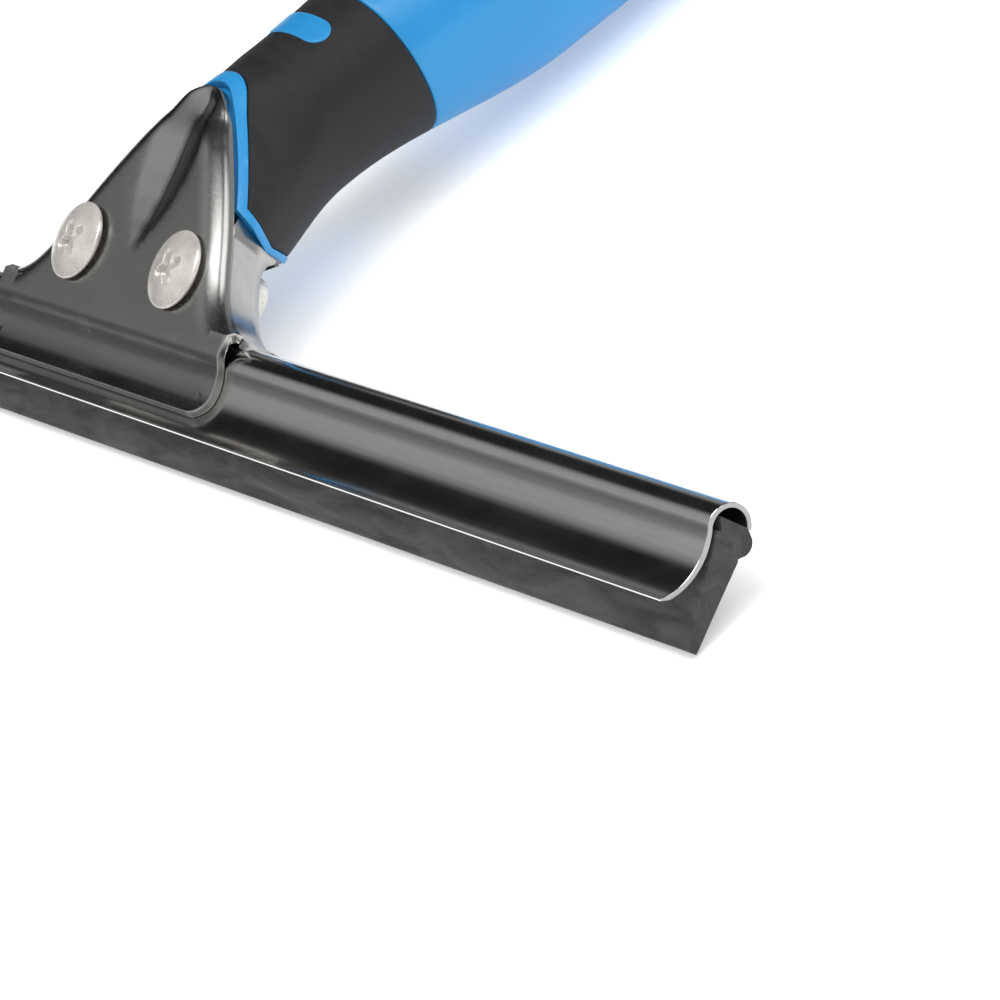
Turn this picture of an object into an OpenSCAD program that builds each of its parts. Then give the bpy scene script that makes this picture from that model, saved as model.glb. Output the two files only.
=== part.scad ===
// Window cleaning squeegee: a steel channel with a rubber blade, clamped between
// two stamped jaws on a plastic handle with a pole socket.
//
// Every sub-part is drawn in the head's own frame: X runs along the channel, Y runs
// towards the back, Z runs from the blade's tip towards the handle, and the origin is
// the middle of the blade's tip. The module at_rest() then lays the whole tool on its
// back, on the blade's tip and the end of the handle, with the front side up.

/* [Channel] */
// Length of the channel
channel_len = 350; // [250:10:450]
// Thickness of the channel's sheet
sheet_t = 0.9; // [0.7:0.05:1]
// Radius of the channel's loop, to the middle of the sheet
loop_r = 3.35; // [3.2:0.05:3.5]
// Radius of the channel's front flange, to the middle of the sheet
flange_r = 10.6; // [10:0.1:11.5]
// Angle of the flange's tip below the flange's centre
flange_tip_angle = 57; // [45:1:60]
// Angle of the loop's free lip above the loop's centre
lip_angle = 14; // [12:1:25]

/* [Rubber blade] */
// How far the blade stands out of each end of the channel
blade_overhang = 0.5; // [0.3:0.1:3]
// Thickness of the blade's tip
tip_t = 1.5; // [1.2:0.1:2]
// Radius of the bead behind the blade
bead_r = 2; // [1.8:0.05:2]

/* [Jaws] */
// Width of the jaws along the channel
jaw_w = 75; // [70:1:90]
// Thickness of the jaws' sheet
plate_t = 1.4; // [1.2:0.1:1.5]
// Distance between the clamp screws
screw_spacing = 33; // [30:1:35]
// Height of the clamp screws above the blade's tip
screw_z = 30; // [29.5:0.5:31]
// Diameter of the clamp screws' shanks
screw_d = 6; // [5:0.5:6]
// Diameter of the clamp screws' heads
head_d = 13.5; // [12:0.5:14]

/* [Handle] */
// Angle between the handle and the blade
lean = 33; // [30:1:35]
// Length of the handle above the head, along its axis
handle_len = 118; // [110:1:130]
// Half width of the neck
neck_a = 14.4; // [14:0.1:15]
// Half depth of the neck
neck_b = 13.3; // [13:0.1:14]
// How much deeper the belly is than the neck, on each side
belly_rise = 4; // [3:0.1:4.5]
// Thickness of the soft grip
grip_t = 1.6; // [1.2:0.1:1.8]
// Radius of the hole for the pole
socket_r = 11; // [10:0.1:11.5]
// Depth of the straight part of the hole for the pole
socket_depth = 45; // [30:1:45]

/* [Hidden] */

// Clearances: running fits, parts that lie against each other, and parts that pass by
run_fit = 0.05;
lay_gap = 0.15;
pass_gap = 0.4;
beyond = 60;

// Channel section, in the plane of Y and Z
loop_c = [-2.1, 18.4];
centre_gap = loop_r + flange_r;
flange_c = loop_c - [13, sqrt(centre_gap * centre_gap - 13 * 13)];
join_angle = atan2(loop_c.y - flange_c.y, loop_c.x - flange_c.x);
loop_out = loop_r + sheet_t / 2;
loop_in = loop_r - sheet_t / 2;
flange_front_r = flange_r - sheet_t / 2;
blade_len = channel_len + 2 * blade_overhang;
blade_top_z = loop_c.y + 1;
tip_back_y = 0.35;
bead_c = [0.38, 16.95];

// Jaw section: the S lip follows the flange, then turns up into the flat face
face_y = -8.1;
face_in_y = face_y + plate_t;
lip_r = flange_front_r - run_fit - plate_t / 2;
lip_low_angle = -30;
heel_r = 3;
heel_c_y = face_y + plate_t / 2 + heel_r;
heel_angle = acos((heel_c_y - flange_c.x) / (lip_r + heel_r));
heel_c = [heel_c_y, flange_c.y + (lip_r + heel_r) * sin(heel_angle)];
seam_y = -4.5;
seam_gap = 0.25;
rear_in_y = loop_c.x + loop_out + run_fit;
rear_y = rear_in_y + plate_t;
rear_low_z = loop_c.y + 0.5;
rear_inset = 0.5;
rear_bend_z = 34.6;
rear_bend_angle = 42;
shoulder_z = 23.3;
bend_z = 53;
bend_angle = 17;
jaw_top_z = 61.3;
lip_corner_r = 4;
lip_low_z = flange_c.y + (lip_r + plate_t / 2) * sin(lip_low_angle) - 0.3;
wall_z = loop_c.y + loop_out + run_fit;

// Jaw outline in the plane of X and Z, from the shoulder to the top of the arch
jaw_half = jaw_w / 2;
outline_shoulder = [[jaw_half, shoulder_z], [31, 24.5], [28, 29.5], [25.5, 33.5]];
outline_side = [[25.5, 33.5], [22.5, 38.8], [16, 48.5], [8.5, 56.5]];
outline_arch = [[8.5, 56.5], [6, 59.5], [3, jaw_top_z], [0, jaw_top_z]];

// Pressed groove in the front jaw: height, half width and depth of each of its sections
groove_steps = [[31.5, 0.8, 0.2], [37, 4.6, 1.1], [bend_z, 7, 1.7], [64, 5, 1.3]];

// Screws, washers and nuts, by their places along Y
washer_t = 0.5;
washer_d = 10.4;
washer_y = face_y - run_fit;
head_y = washer_y - washer_t - run_fit;
head_h = 2;
head_rim = 0.6;
recess_len = 6.4;
recess_w = 1.3;
recess_deep = 1.4;
nut_t = 4;
nut_neck_r = screw_d / 2 + 1;
nut_r = screw_d / 2 + 1.4;
screw_x = screw_spacing / 2;
screw_end_y = rear_y + nut_t + 0.6;

// Handle: places along its axis are measured from the neck's reference point
neck_c = [9.1, 58.1];
grip_low = -20.3;
end_z = 38.1;
end_rim = 1.3;
ring_s = 22;
cap_s = handle_len - 13;
cap_chamfer = 1.6;
front_cut_y = seam_y + lay_gap;
rim_w = 1.7;
sleeve_t = 2;
sleeve_low = handle_len - socket_depth - 16;
socket_tip_r = socket_r - 3;
neck_e = -0.1;
belly_c = 1.4;
front_taper = 0.46;
tang_e = 7.2;
tang_half = 6.5;
tang_end = 42;
spine_rise = 31;
spine_root = 0.6;
pin_r = 2;
pin_s = [8, 34];
pin_e = -6;
pin_len = 16;
ring_steps = 56;

// How the tool lies at rest
rest_low = axis_point(handle_len - cap_chamfer, centre_e(handle_len) + half_b(handle_len));
rest_tilt = 90 - atan2(rest_low.x - tip_back_y, rest_low.y);
rest_end = axis_point(handle_len, centre_e(handle_len) - half_b(handle_len) + cap_chamfer);
flange_tip = flange_c + (flange_front_r) * [cos(flange_tip_angle), -sin(flange_tip_angle)];
rest_lift = tip_back_y * sin(rest_tilt);
rest_shift = -(laid(rest_end).x + laid(flange_tip).x) / 2;

function smooth(t) = let (u = min(max(t, 0), 1)) u * u * (3 - 2 * u);
function bezier(p, t) = pow(1 - t, 3) * p[0] + 3 * t * pow(1 - t, 2) * p[1]
                        + 3 * t * t * (1 - t) * p[2] + pow(t, 3) * p[3];
function unit(v) = v / norm(v);
function laid(p) = [p.x * cos(rest_tilt) + p.y * sin(rest_tilt), p.y * cos(rest_tilt) - p.x * sin(rest_tilt)];

// A point of the handle in the plane of Y and Z: s along its axis, e towards its back
function axis_point(s, e) = neck_c + s * [sin(lean), cos(lean)] + e * [cos(lean), -sin(lean)];

// Half width, half depth, middle and squareness of the handle's section at s
function half_a(s) = neck_a + 9.2 * (1 - smooth((s + 30) / 36)) + 2.9 * smooth((s - 6) / 44)
                     - 1.6 * smooth((s - 62) / 36) + 2 * smooth((s - 98) / 14);
function half_b(s) = neck_b + 1.2 * (1 - smooth((s + 20) / 22)) + belly_rise * smooth((s - 6) / 44)
                     - 1.8 * smooth((s - 62) / 36) + 2 * smooth((s - 98) / 14);
function centre_e(s) = neck_e + (belly_c - neck_e) * smooth((s - 6) / 44);
function taper(s) = front_taper * (1 - smooth((s + 7) / 12));
function squareness(s) = 2.15 + 0.9 * (1 - smooth((s + 22) / 26));

// One section of the handle, drawn in by an inset
function ring(s, inset, steps) = [
    for (i = [0 : steps - 1])
        let (a = 360 * i / steps, k = 2 / squareness(s),
             depth = sign(sin(a)) * pow(abs(sin(a)), k),
             x = (half_a(s) - inset) * sign(cos(a)) * pow(abs(cos(a)), k) * (1 - taper(s) * max(-depth, 0)),
             e = centre_e(s) + (half_b(s) - inset) * depth,
             p = axis_point(s, e))
        [x, p.x, p.y]];

// The jaws' outline on the right side, from the shoulder up, drawn in by an inset
function outline_side_points(inset) = [
    for (part = [outline_shoulder, outline_side, outline_arch])
        for (t = [0 : 0.125 : 0.99])
            let (p = bezier(part, t), q = bezier(part, t + 0.01), d = unit(q - p))
            [max(p.x - inset * d.y, 0), p.y + inset * d.x]];
function jaw_outline(inset, low_z) = let (side = outline_side_points(inset), n = len(side)) concat(
    [[-side[0].x, low_z], [side[0].x, low_z]], side, [[0, jaw_top_z - inset]],
    [for (i = [n - 1 : -1 : 0]) [-side[i].x, side[i].y]]);

module at_rest() {
    translate([0, rest_shift, rest_lift]) rotate([-rest_tilt, 0, 0]) children();
}

// A 2D shape in Y and Z, extruded along X about the middle
module along_x(length) {
    rotate([90, 0, 90]) linear_extrude(length, center = true) children();
}

// A 2D shape in X and Z, extruded along Y from y0 to y1
module along_y(y0, y1) {
    translate([0, y1, 0]) rotate([90, 0, 0]) linear_extrude(y1 - y0) children();
}

// A cylinder along Y at a place in X and Z
module rod_y(x, z, y0, y1, r) {
    translate([x, y1, z]) rotate([90, 0, 0]) cylinder(h = y1 - y0, r = r, $fn = 48);
}

// Children drawn in the handle's frame: Z along its axis, Y towards its back
module on_axis(s, e) {
    p = axis_point(s, e);
    translate([0, p.x, p.y]) rotate([-lean, 0, 0]) children();
}

// A strip of sheet bent to an arc, seen from its edge
module bent_strip(centre, r, t, a0, a1) {
    steps = ceil((a1 - a0) / 40);
    reach = 3 * r;
    translate(centre) intersection() {
        difference() {
            circle(r + t / 2, $fn = 96);
            circle(r - t / 2, $fn = 96);
        }
        polygon(concat([[0, 0]], [for (i = [0 : steps])
            let (a = a0 + (a1 - a0) * i / steps) reach * [cos(a), sin(a)]]));
    }
}

// A closed solid through rings of points
module loft(rings) {
    n = len(rings[0]);
    last = len(rings) - 1;
    polyhedron(
        points = [for (r = rings) each r],
        faces = concat(
            [[for (i = [0 : n - 1]) i]],
            [for (k = [0 : last - 1], i = [0 : n - 1])
                let (a = k * n + i, b = k * n + (i + 1) % n) [a, a + n, b + n, b]],
            [[for (i = [n - 1 : -1 : 0]) last * n + i]]));
}

// The handle's body between two places on its axis, drawn in by an inset
module handle_body(s0, s1, inset, step = 3) {
    count = ceil((s1 - s0) / step);
    loft([for (k = [0 : count]) ring(s0 + (s1 - s0) * k / count, inset, ring_steps)]);
}

// Everything in front of a plane across the head
module in_front_of(y) {
    translate([-beyond, y - 2 * beyond, -beyond]) cube([2 * beyond, 2 * beyond, 4 * beyond]);
}

module channel() {
    color("silver") at_rest() along_x(channel_len) {
        bent_strip(loop_c, loop_r, sheet_t, lip_angle, 180 + join_angle + 0.3);
        bent_strip(flange_c, flange_r, sheet_t, -flange_tip_angle, join_angle + 0.3);
    }
}

module rubber_blade() {
    color("dimgray") at_rest() along_x(blade_len) {
        intersection() {
            translate(loop_c) circle(loop_in - 0.08, $fn = 96);
            translate([loop_c.x - 5, loop_c.y - 2.2]) square([10, blade_top_z - loop_c.y + 2.2]);
        }
        translate(bead_c) circle(bead_r, $fn = 64);
        polygon([[tip_back_y - tip_t, 0], [tip_back_y, 0], [1.5, bead_c.y - 1.6], [1, bead_c.y],
                  [-3, blade_top_z - 2], [-4.2, loop_c.y - 1.2], [-3.7, 15], [-3.4, 12],
                 [-2.9, 8.5], [-1.95, 4.5]]);
    }
}

// Everything behind the front jaw's face, from its front surface or its back surface
module behind_face(front_y, low_z) {
    rise = 20;
    polygon([[front_y, low_z], [5, low_z], [5, bend_z + rise],
             [front_y + rise * tan(bend_angle), bend_z + rise], [front_y, bend_z]]);
}

// Side profile of the front jaw: lip, heel and face, with the side walls behind it
module front_jaw_profile() {
    bent_strip(flange_c, lip_r, plate_t, lip_low_angle, heel_angle + 0.3);
    bent_strip(heel_c, heel_r, plate_t, 180, 180 + heel_angle + 0.3);
    translate([face_y, heel_c.y]) square([plate_t, wall_z - heel_c.y + 1]);
    intersection() {
        behind_face(face_y, wall_z);
        translate([face_y, wall_z]) square([seam_y - face_y, beyond]);
    }
}

// A V shaped bar along the pressed groove, its ridge behind the face by each depth
module groove_bar(front, back) {
    loft([for (g = groove_steps)
        let (y = face_y + max(g[0] - bend_z, 0) * tan(bend_angle), grow = (g[2] + front) / g[2])
        [[g[1] * grow, y - front + back, g[0]], [0, y + g[2] + back, g[0]],
         [-g[1] * grow, y - front + back, g[0]]]]);
}

module front_jaw() {
    color("gainsboro") at_rest() difference() {
        union() {
            difference() {
                intersection() {
                    along_x(jaw_w) front_jaw_profile();
                    along_y(face_y - 2, seam_y + 4) polygon(jaw_outline(0, 0));
                }
                intersection() {
                    along_x(jaw_w) behind_face(face_in_y, wall_z - 1);
                    along_y(face_y - 2, seam_y + 4) polygon(jaw_outline(plate_t, 0));
                }
            }
            intersection() {
                groove_bar(-0.05, plate_t);
                along_y(face_y, seam_y - 0.1) polygon(jaw_outline(1, 0));
            }
        }
        groove_bar(0.3, 0);
        for (side = [-1, 1]) {
            rod_y(side * screw_x, screw_z, face_y - 1, seam_y, screw_d / 2 + pass_gap);
            translate([side * (jaw_half - lip_corner_r), 0, lip_low_z + lip_corner_r]) lip_corner(side);
        }
    }
}

// The piece cut off a lower corner of the front jaw's lip to round it
module lip_corner(side) {
    along_y(-12, -4) difference() {
        translate([side > 0 ? 0 : -lip_corner_r - 1, -lip_corner_r - 1]) square(lip_corner_r + 1);
        circle(lip_corner_r, $fn = 64);
    }
}

// Distance of the rear jaw's bent plate behind a face of it, at a height
function bent_back(z) = max(z - rear_bend_z, 0) * tan(rear_bend_angle);

// The handle's lower end, level behind the jaws and square to the handle's axis in front of them:
// its height at a place along Y, and the place along Y where it turns level at a height
function end_line(y, rise) = neck_c.y + (grip_low + rise) / cos(lean) - (y - neck_c.x) * tan(lean);
function end_corner(z, rise) = neck_c.x + (neck_c.y - z + (grip_low + rise) / cos(lean)) / tan(lean);

// The rear jaw as a filled block, closed above by the handle's lower end
module rear_block() {
    front = seam_y + seam_gap;
    top = end_z - lay_gap;
    intersection() {
        along_x(jaw_w) polygon([[front, wall_z], [rear_in_y, wall_z], [rear_in_y, rear_low_z],
                                [rear_y, rear_low_z], [rear_y, rear_bend_z], [rear_y + bent_back(top), top],
                                [end_corner(top, -lay_gap), top], [front, end_line(front, -lay_gap)]]);
        along_y(seam_y - 5, beyond) polygon(jaw_outline(rear_inset, 0));
    }
}

module rear_jaw() {
    inner_bend_z = rear_bend_z + plate_t * tan(rear_bend_angle / 2);
    inner_end_y = rear_in_y + (beyond - inner_bend_z) * tan(rear_bend_angle);
    color("darkgray") at_rest() difference() {
        union() {
            difference() {
                rear_block();
                intersection() {
                    along_x(jaw_w) polygon([[seam_y - 5, 0], [rear_in_y, 0], [rear_in_y, inner_bend_z],
                                            [inner_end_y, beyond], [seam_y - 5, beyond]]);
                    along_y(seam_y - 6, beyond) polygon(jaw_outline(rear_inset + plate_t, 0));
                }
            }
            tang();
        }
        for (side = [-1, 1]) rod_y(side * screw_x, screw_z, seam_y, rear_y + 1, nut_neck_r + run_fit);
        pin_bores(0);
    }
}

// The rear jaw's tang, bent to the handle's lean and carried up inside the handle
module tang() {
    foot = [rear_y + bent_back(37), 37];
    across = plate_t * [cos(rear_bend_angle), -sin(rear_bend_angle)];
    tang_out = tang_e + plate_t;
    along_x(2 * tang_half) polygon([foot - across, foot, axis_point(-17.5, tang_out),
                                    axis_point(tang_end, tang_out), axis_point(tang_end, tang_e),
                                    axis_point(-15, tang_e)]);
}

// Bores of the tang's cross pins, longer at both ends by a margin
module pin_bores(over) {
    for (s = pin_s) on_axis(s, pin_e - over) rotate([-90, 0, 0])
        cylinder(h = pin_len + 2 * over, r = pin_r + run_fit, $fn = 48);
}

module clinch_nut(side) {
    color("lightgray") at_rest() difference() {
        union() {
            rod_y(side * screw_x, screw_z, rear_in_y, rear_y + 0.1, nut_neck_r);
            rod_y(side * screw_x, screw_z, rear_y, rear_y + nut_t, nut_r);
        }
        rod_y(side * screw_x, screw_z, rear_in_y - 1, rear_y + nut_t + 1, screw_d / 2 + run_fit);
    }
}

module clinch_nut_left() { clinch_nut(-1); }
module clinch_nut_right() { clinch_nut(1); }

module spring_washer(side) {
    color("gray") at_rest() difference() {
        rod_y(side * screw_x, screw_z, washer_y - washer_t, washer_y, washer_d / 2);
        rod_y(side * screw_x, screw_z, washer_y - 2, washer_y + 2, screw_d / 2 + 2 * run_fit);
        translate([side * screw_x - 0.4, washer_y - 2, screw_z]) cube([0.8, 4, head_d]);
    }
}

module spring_washer_left() { spring_washer(-1); }
module spring_washer_right() { spring_washer(1); }

module clamp_screw(side) {
    color("whitesmoke") at_rest() translate([side * screw_x, 0, screw_z]) rotate([90, 0, 0]) difference() {
        union() {
            translate([0, 0, -head_y]) rotate_extrude($fn = 96) intersection() {
                translate([0, head_h - dome_r()]) circle(dome_r(), $fn = 128);
                square([head_d / 2, head_h]);
            }
            translate([0, 0, -screw_end_y])
                cylinder(h = screw_end_y - head_y + 0.1, r = screw_d / 2, $fn = 64);
        }
        for (turn = [0, 90]) rotate([0, 0, turn])
            translate([-recess_len / 2, -recess_w / 2, -head_y + head_h - recess_deep])
                cube([recess_len, recess_w, head_h]);
    }
}

// Radius of a screw head's dome, which meets the head's edge a little above its seat
function dome_r() = let (drop = head_h - head_rim) (head_d * head_d / 4 + drop * drop) / (2 * drop);

module clamp_screw_left() { clamp_screw(-1); }
module clamp_screw_right() { clamp_screw(1); }

// Room that the head and its tang take inside the handle
module head_room() {
    in_front_of(front_cut_y);
    below_end();
    on_axis(-22, tang_e - lay_gap) translate([-tang_half - lay_gap, 0, 0])
        cube([2 * tang_half + 2 * lay_gap, plate_t + 2 * lay_gap, 22 + tang_end + lay_gap]);
    on_axis(-22, tang_e - 0.6) translate([-tang_half - lay_gap, 0, 0])
        cube([2 * tang_half + 2 * lay_gap, 1, 10]);
}

// Everything below the level part of the handle's lower end
module below_end() {
    translate([-beyond, -beyond, end_z - 4 * beyond]) cube([2 * beyond, 4 * beyond, 4 * beyond]);
}

// Room of the soft grip, seen from the side, behind the collar's rim
module grip_side(rim, flat) {
    front = front_cut_y + rim;
    along_x(2 * beyond) polygon([[front, 3 * beyond], [front, end_line(front, rim)],
                                 [end_corner(end_z + flat, rim), end_z + flat],
                                 [2 * beyond, end_z + flat], [2 * beyond, 3 * beyond]]);
}

module handle_core() {
    under = grip_t + lay_gap;
    steps = ring_steps;
    color("dodgerblue") at_rest() difference() {
        union() {
            loft(concat(
                [for (k = [0 : 11]) ring(grip_low + (ring_s - grip_low) * k / 11, under, steps)],
                [for (s = [ring_s + run_fit, ring_s + 1.5]) ring(s, 0, steps)],
                [for (k = [1 : 22]) ring(ring_s + 1.5 + (cap_s - ring_s - 1.5) * k / 22, 0, steps)]));
            intersection() {
                difference() {
                    handle_body(grip_low, spine_rise + grip_low, 0);
                    handle_body(grip_low - 3, spine_rise + grip_low + 3, under + spine_root);
                }
                spine_area(0);
            }
        }
        head_room();
        on_axis(sleeve_low, belly_c) cylinder(h = 2 * beyond, r = socket_r + sleeve_t + run_fit, $fn = 96);
        pin_bores(run_fit);
        on_axis(cap_s - 7, belly_c) cylinder(h = beyond, r = socket_r + sleeve_t + 0.9, $fn = 96);
    }
}

// Half width of the core's bare spine at the back of the neck, from the lower end up
function spine_half(u) = 17.5 * (1 - pow(u, 1.6));

// Room of the bare spine, drawn out by a margin
module spine_area(grow) {
    low_s = grip_low - 3;
    side = [for (u = [0 : 0.125 : 1]) [spine_half(u) + grow, low_s + u * spine_rise]];
    on_axis(0, 0) {
        rotate([90, 0, 0]) translate([0, 0, -beyond]) linear_extrude(beyond - 4)
            polygon(concat(side, [for (k = [len(side) - 1 : -1 : 0]) [-side[k].x, side[k].y]]));
    }
}

// The shell between the handle's outer surface and the core
module grip_shell(s0, s1) {
    difference() {
        handle_body(s0, s1, 0);
        handle_body(s0 - 3, s1 + 3, grip_t);
    }
}

// Rounded bar on the front of the neck, drawn from in front
module inlay_bar(grow) {
    on_axis(13, 0) rotate([90, 0, 0]) linear_extrude(beyond) hull()
        for (side = [-1, 1]) translate([side * 5.5, 0]) circle(2.6 + grow, $fn = 40);
}

module neck_grip() {
    color([0.12, 0.12, 0.12]) at_rest() difference() {
        intersection() {
            grip_shell(grip_low, ring_s);
            grip_side(rim_w, end_rim);
        }
        inlay_bar(run_fit);
        spine_area(run_fit);
    }
}

module head_collar() {
    color("deepskyblue") at_rest() difference() {
        grip_shell(grip_low, 9);
        in_front_of(front_cut_y);
        below_end();
        grip_side(rim_w - run_fit, end_rim - run_fit);
        spine_area(run_fit);
    }
}

module grip_inlay() {
    color("dodgerblue") at_rest() intersection() {
        grip_shell(4, ring_s - 0.5);
        inlay_bar(0);
    }
}

module tang_pin(s) {
    color("silver") at_rest() on_axis(s, pin_e) rotate([-90, 0, 0]) difference() {
        cylinder(h = pin_len, r = pin_r, $fn = 48);
        translate([0, 0, -1]) cylinder(h = pin_len + 2, r = pin_r - 0.6, $fn = 48);
        translate([0, -0.25, -1]) cube([beyond, 0.5, pin_len + 2]);
    }
}

module tang_pin_lower() { tang_pin(pin_s[0]); }
module tang_pin_upper() { tang_pin(pin_s[1]); }

module pole_socket() {
    straight_s = handle_len - socket_depth;
    color("darkslategray") at_rest() on_axis(0, belly_c) difference() {
        union() {
            translate([0, 0, sleeve_low + run_fit])
                cylinder(h = handle_len - sleeve_low - run_fit, r = socket_r + sleeve_t, $fn = 96);
            translate([0, 0, cap_s - 7 + run_fit])
                cylinder(h = 7 - run_fit, r = socket_r + sleeve_t + 0.85, $fn = 96);
        }
        translate([0, 0, straight_s]) cylinder(h = beyond, r = socket_r, $fn = 96);
        translate([0, 0, sleeve_low + 4])
            cylinder(h = straight_s - sleeve_low - 3, r1 = socket_tip_r, r2 = socket_r - 0.15, $fn = 96);
    }
}

module butt_cap() {
    color([0.1, 0.1, 0.1]) at_rest() difference() {
        loft([ring(cap_s + run_fit, 0, ring_steps), ring(cap_s + 4, 0, ring_steps),
              ring(cap_s + 8, 0, ring_steps),
              ring(handle_len - cap_chamfer, 0, ring_steps), ring(handle_len, cap_chamfer, ring_steps)]);
        on_axis(cap_s - 1, belly_c) cylinder(h = beyond, r = socket_r + sleeve_t + run_fit, $fn = 96);
    }
}

handle_core();
neck_grip();
head_collar();
grip_inlay();
pole_socket();
butt_cap();
rear_jaw();
clinch_nut_left();
clinch_nut_right();
tang_pin_lower();
tang_pin_upper();
front_jaw();
spring_washer_left();
spring_washer_right();
clamp_screw_left();
clamp_screw_right();
channel();
rubber_blade();
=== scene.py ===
"""Looks for the window cleaning squeegee. Every piece is made in the head's own frame, in millimetres
(X along the channel, Y to the back, Z from the blade's tip to the handle), and laid into the row frame."""
import math

import bmesh
import bpy
import numpy as np
from mathutils import Matrix, Vector
from mathutils.geometry import delaunay_2d_cdt


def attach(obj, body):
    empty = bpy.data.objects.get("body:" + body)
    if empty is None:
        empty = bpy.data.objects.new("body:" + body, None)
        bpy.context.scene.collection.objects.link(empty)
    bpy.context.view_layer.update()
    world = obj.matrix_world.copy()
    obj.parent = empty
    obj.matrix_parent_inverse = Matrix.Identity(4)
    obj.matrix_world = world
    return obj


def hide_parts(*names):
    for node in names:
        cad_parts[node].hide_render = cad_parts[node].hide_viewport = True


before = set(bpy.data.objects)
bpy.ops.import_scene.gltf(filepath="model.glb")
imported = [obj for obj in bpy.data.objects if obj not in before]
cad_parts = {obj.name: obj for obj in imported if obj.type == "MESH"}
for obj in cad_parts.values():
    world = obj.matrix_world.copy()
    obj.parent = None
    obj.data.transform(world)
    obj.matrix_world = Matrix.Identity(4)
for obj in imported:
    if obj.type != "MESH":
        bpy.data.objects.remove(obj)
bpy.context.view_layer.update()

# ---------------------------------------------------------------- the head's frame
REST_TILT = math.radians(58.8223)
REST_SHIFT = -85.9979
REST_LIFT = 0.299448
CT, ST = math.cos(REST_TILT), math.sin(REST_TILT)


def row(p):
    """A point of the head's frame in mm, in the row frame in metres."""
    x, y, z = p
    return (x / 1000, (y * CT + z * ST + REST_SHIFT) / 1000, (z * CT - y * ST + REST_LIFT) / 1000)


def row_dir(d):
    return Vector((d[0], d[1] * CT + d[2] * ST, d[2] * CT - d[1] * ST))


# ---------------------------------------------------------------- sizes in mm
# The CAD's own, but for TIP_ANGLE: the channel's front lip ends 5 degrees before the CAD's 57.
CHANNEL_HALF = 175.0
SHEET = 0.9
LOOP_C, LOOP_R = (-2.1, 18.4), 3.35
FLANGE_C, FLANGE_R = (-15.1, 13.3401), 10.6
JOIN = 21.2671
LIP_ANGLE, TIP_ANGLE = 14.0, 52.0
FACE_Y, PLATE = -8.1, 1.4
JAW_HALF = 37.5
SEAM_Y = -4.5
REAR_Y = 3.15
REAR_BEND_Z, REAR_BEND = 34.6, math.radians(42)
BEND_Z, BEND = 53.0, math.radians(17)
HEEL_C, HEEL_R = (-4.4, 19.6067), 3.0
LIP_R = 9.4
HEEL_ANGLE = math.degrees(math.acos((HEEL_C[0] - FLANGE_C[0]) / (LIP_R + HEEL_R)))
SCREW_X, SCREW_Z = 16.5, 30.0
WASHER_Y, WASHER_T = -8.15, 0.5
HEAD_Y = -8.7
FRONT_CUT = -4.35
GRIP_LOW, RING_S, CAP_S, END_S = -20.3, 22.0, 105.0, 118.0
END_Z = 38.1
RIM, END_RIM = 1.7, 1.3
LAY = 0.15
LEAN = math.radians(33)
NECK = (9.1, 58.1)
BELLY_C = 1.4
SOCKET_R = 11.0


def smooth(t):
    t = min(max(t, 0.0), 1.0)
    return t * t * (3 - 2 * t)


def table(xs, ys):
    """A smooth function through a few stations."""
    def f(x):
        if x <= xs[0]:
            return ys[0]
        for a, b, p, q in zip(xs, xs[1:], ys, ys[1:]):
            if x <= b:
                return p + (q - p) * smooth((x - a) / (b - a)) * 0.5 + (q - p) * (x - a) / (b - a) * 0.5
        return ys[-1]
    return f


# ---------------------------------------------------------------- the handle's surface
def half_a(s):
    return (14.4 + 9.2 * (1 - smooth((s + 30) / 36)) + 2.9 * smooth((s - 6) / 44)
            - 1.6 * smooth((s - 62) / 36) + 2 * smooth((s - 98) / 14))


def half_b(s):
    return (13.3 + 1.2 * (1 - smooth((s + 20) / 22)) + 4 * smooth((s - 6) / 44)
            - 1.8 * smooth((s - 62) / 36) + 2 * smooth((s - 98) / 14))


def centre_e(s):
    return -0.1 + 1.5 * smooth((s - 6) / 44)


def square(s):
    return 2.15 + 0.9 * (1 - smooth((s + 22) / 26))


def taper(s):
    return 0.46 * (1 - smooth((s + 7) / 12))


def axis_point(s, e, x=0.0):
    return (x, NECK[0] + s * math.sin(LEAN) + e * math.cos(LEAN),
            NECK[1] + s * math.cos(LEAN) - e * math.sin(LEAN))


def on_handle(s, a, inset=0.0):
    """A point of the handle: a in degrees, 0 to the right, 90 at the back, -90 in front."""
    c, d, k = math.cos(math.radians(a)), math.sin(math.radians(a)), 2 / square(s)
    depth = math.copysign(abs(d) ** k, d)
    x = (half_a(s) - inset) * math.copysign(abs(c) ** k, c) * (1 - taper(s) * max(-depth, 0))
    e = centre_e(s) + (half_b(s) - inset) * depth
    return axis_point(s, e, x)


def circle_on_axis(s, r, a, e=BELLY_C):
    return axis_point(s, e + r * math.sin(math.radians(a)), r * math.cos(math.radians(a)))


# ---------------------------------------------------------------- meshes
def grid_faces(rows, cols, wrap_cols=True, wrap_rows=False, base=0):
    out = []
    for r in range(rows if wrap_rows else rows - 1):
        for c in range(cols if wrap_cols else cols - 1):
            r2, c2 = (r + 1) % rows, (c + 1) % cols
            low, high = base + r * cols, base + r2 * cols
            out.append((low + c, low + c2, high + c2, high + c))
    return out


class Shape:
    """Vertices and faces gathered for one piece."""

    def __init__(self):
        self.v, self.f = [], []

    def add(self, verts, faces):
        base = len(self.v)
        self.v += [tuple(p) for p in verts]
        self.f += [tuple(base + i for i in f) for f in faces]

    def rings(self, rings, wrap=False, cap0=False, cap1=False):
        n = len(rings[0])
        base = len(self.v)
        for r in rings:
            self.v += [tuple(p) for p in r]
        self.f += grid_faces(len(rings), n, True, wrap, base)
        if cap0:
            self.f.append(tuple(base + i for i in range(n))[::-1])
        if cap1:
            last = base + (len(rings) - 1) * n
            self.f.append(tuple(last + i for i in range(n)))


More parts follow.
